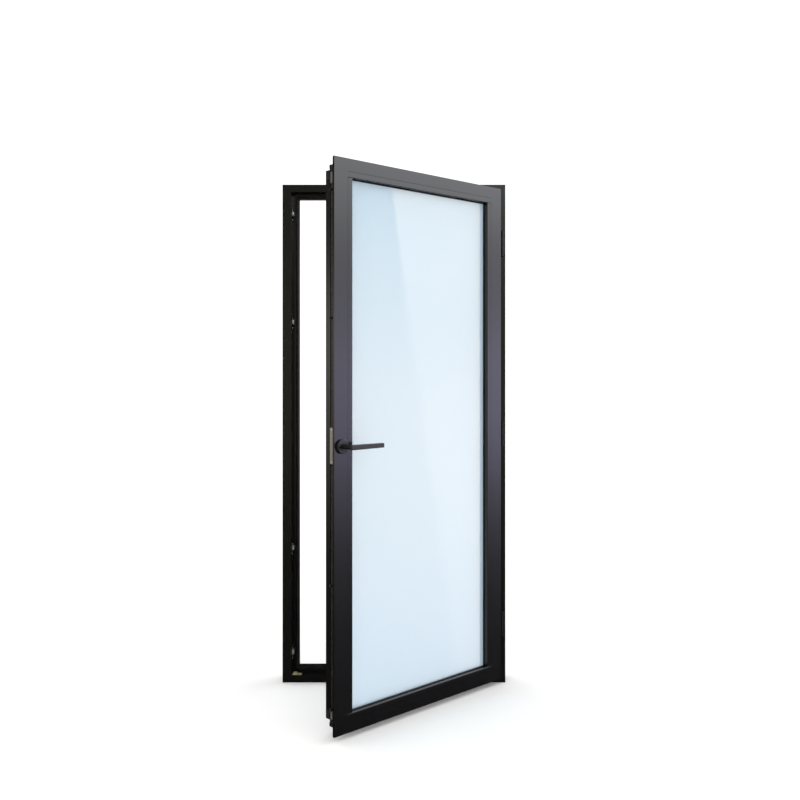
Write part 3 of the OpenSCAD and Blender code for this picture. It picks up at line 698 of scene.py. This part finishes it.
# Soft lights that only the gloss sees, each with its side, how tightly it keeps to that side,
# and its brightness by height, which is the upward part of the direction
softLights = {
    "right": {"way": (1, 0, 0), "from": 0.3, "to": 0.75, "stops": [
        (-0.4, (0.0, 0.0, 0.0)), (-0.3, (0.02, 0.02, 0.02)), (-0.24, (0.1, 0.1, 0.1)),
        (-0.19, (0.22, 0.21, 0.24)), (-0.13, (0.85, 0.82, 1.0)), (-0.08, (2.1, 2.05, 2.9)),
        (0.02, (2.4, 2.35, 3.1)), (0.08, (1.3, 1.28, 1.45)), (0.13, (1.4, 1.4, 1.45)),
        (0.17, (3.0, 3.05, 3.2)), (0.25, (3.9, 4.0, 4.2)), (0.9, (2.0, 2.0, 2.0))]},
    "left": {"way": (-1, 0, 0), "from": 0.3, "to": 0.75, "stops": [
        (-0.25, (0.0, 0.0, 0.0)), (-0.2, (0.04, 0.04, 0.04)), (-0.13, (0.2, 0.18, 0.16)),
        (-0.06, (0.65, 0.62, 0.57)), (0.02, (1.3, 1.24, 1.15)), (0.07, (1.15, 1.1, 1.0)),
        (0.1, (0.2, 0.19, 0.18)), (0.2, (0.05, 0.05, 0.05)), (0.9, (0.5, 0.5, 0.5))]},
    "front": {"way": (0, -1, 0), "from": 0.75, "to": 0.95, "stops": [
        (-0.3, (0.0, 0.0, 0.0)), (-0.17, (0.06, 0.06, 0.05)), (-0.07, (0.36, 0.34, 0.24)),
        (0.07, (0.36, 0.33, 0.22)), (0.2, (0.06, 0.06, 0.03)), (0.9, (0.5, 0.5, 0.5))]},
    "frontRight": {"way": (0.25, -0.97, 0), "from": 0.93, "to": 0.97, "stops": [
        (0.1, (0.0, 0.0, 0.0)), (0.16, (0.4, 0.4, 0.4)), (0.2, (2.6, 2.7, 2.8)),
        (0.27, (4.0, 4.1, 4.3)), (0.9, (0.0, 0.0, 0.0))]},
    "rear": {"way": (0, 1, 0), "from": 0.6, "to": 0.9, "stops": [
        (-0.3, (0.01, 0.01, 0.01)), (-0.1, (0.13, 0.12, 0.11)), (0.1, (0.2, 0.19, 0.18)),
        (0.2, (0.02, 0.02, 0.02)), (0.9, (0.02, 0.02, 0.02))]},
}
# What the glass mirrors: an even glow that is strongest half way up, and a slanting card
glassGlow = {
    "stops": [
        (-0.38, (3.3, 3.8, 4.4)), (-0.28, (3.5, 3.1, 3.1)), (-0.14, (4.2, 3.2, 2.6)),
        (-0.05, (4.1, 2.9, 2.3)), (0.1, (1.9, 1.4, 1.1)), (0.19, (0.0, 0.0, 0.0)),
        (0.9, (0.3, 0.3, 0.3))],
    "lean": 0.14,               # how far the card's edge leans for each unit of height
    "edge": (-0.027, -0.023),   # where the edge starts and ends
    "card": [
        (-0.38, (0.5, 0.5, 0.5)), (0.05, (0.9, 0.8, 0.7)), (0.19, (3.0, 2.2, 1.6)),
        (0.9, (0.5, 0.5, 0.5))],
}
# The span of heights that the ramps cover, and what their colours are multiplied by
heights = {"low": -0.5, "high": 1.0, "scale": 6.0}


def makeWorld():
    # white all round for the eye and for the fill. The gloss sees the soft lights instead: a tall one
    # on the right that fades out towards the floor, a weaker one on the left, and little else.
    # Perfectly sharp reflections, which only the glass has, see a picture of their own.
    world = bpy.data.worlds.new("studio")
    bpy.context.scene.world = world
    world.use_nodes = True
    world.cycles.sampling_method = "NONE"
    tree = world.node_tree
    tree.nodes.clear()
    direction = addNode(tree, "TexCoord").outputs["Generated"]
    x, y, z = addNode(tree, "SeparateXYZ", {}, {0: direction}).outputs
    span = {"From Min": heights["low"], "From Max": heights["high"]}
    height = addNode(tree, "MapRange", span, {0: z}).outputs[0]

    # one colour ramp by height for each light and for the two parts of the glass's view
    ramps = {}
    allStops = {name: light["stops"] for name, light in softLights.items()}
    allStops.update({"glow": glassGlow["stops"], "card": glassGlow["card"]})
    for name, stops in allStops.items():
        ramp = addNode(tree, "ValToRGB", {}, {0: height})
        points = ramp.color_ramp.elements
        for _ in range(len(stops) - len(points)):
            points.new(0.5)
        for point, (level, colour) in zip(points, stops):
            point.position = (level - heights["low"]) / (heights["high"] - heights["low"])
            point.color = (*[c / heights["scale"] for c in colour], 1.0)
        brighter = {"operation": "SCALE", "Scale": heights["scale"]}
        ramps[name] = addNode(tree, "VectorMath", brighter, {0: ramp.outputs[0]}).outputs[0]

    lights = None
    for name, light in softLights.items():
        towards = {"operation": "DOT_PRODUCT", 1: light["way"]}
        facing = addNode(tree, "VectorMath", towards, {0: direction}).outputs["Value"]
        limits = {"interpolation_type": "SMOOTHSTEP", "From Min": light["from"], "From Max": light["to"]}
        share = addNode(tree, "MapRange", limits, {0: facing}).outputs[0]
        part = {0: ramps[name], "Scale": share}
        part = addNode(tree, "VectorMath", {"operation": "SCALE"}, part).outputs[0]
        if lights:
            part = addNode(tree, "VectorMath", {"operation": "ADD"}, {0: lights, 1: part}).outputs[0]
        lights = part

    # the card's slanting edge crosses the middle of what the open leaf mirrors
    across = addNode(tree, "Math", {"operation": "DIVIDE"}, {0: y, 1: x}).outputs[0]
    leaning = {"operation": "MULTIPLY_ADD", 1: glassGlow["lean"]}
    slant = addNode(tree, "Math", leaning, {0: z, 2: across}).outputs[0]
    edgeLow, edgeHigh = glassGlow["edge"]
    limits = {"interpolation_type": "SMOOTHSTEP", "From Min": edgeLow, "From Max": edgeHigh}
    cardShare = addNode(tree, "MapRange", limits, {0: slant}).outputs[0]
    card = {0: ramps["card"], "Scale": cardShare}
    card = addNode(tree, "VectorMath", {"operation": "SCALE"}, card).outputs[0]
    both = {0: ramps["glow"], 1: card}
    mirrored = addNode(tree, "VectorMath", {"operation": "ADD"}, both).outputs[0]

    white = (1.0, 1.0, 1.0, 1.0)
    path = addNode(tree, "LightPath").outputs
    plain = addNode(tree, "Math", {"operation": "MAXIMUM"},
                    {0: path["Is Camera Ray"], 1: path["Is Transmission Ray"]}).outputs[0]
    backdrop = addNode(tree, "Background", {"Color": white, "Strength": studio["backdrop"]}).outputs[0]
    fill = addNode(tree, "Background", {"Color": white, "Strength": studio["fill"]}).outputs[0]
    satin = addNode(tree, "Background", {}, {"Color": lights}).outputs[0]
    sharp = addNode(tree, "Background", {}, {"Color": mirrored}).outputs[0]
    gloss = addNode(tree, "MixShader", {}, {0: path["Is Singular Ray"], 1: satin, 2: sharp}).outputs[0]
    lit = addNode(tree, "MixShader", {}, {0: path["Is Glossy Ray"], 1: fill, 2: gloss}).outputs[0]
    seen = addNode(tree, "MixShader", {}, {0: plain, 1: lit, 2: backdrop}).outputs[0]
    addNode(tree, "OutputWorld", {}, {"Surface": seen})


makeFloor()
makeWorld()
bpy.context.scene.view_settings.view_transform = "Standard"
print("studio ready")
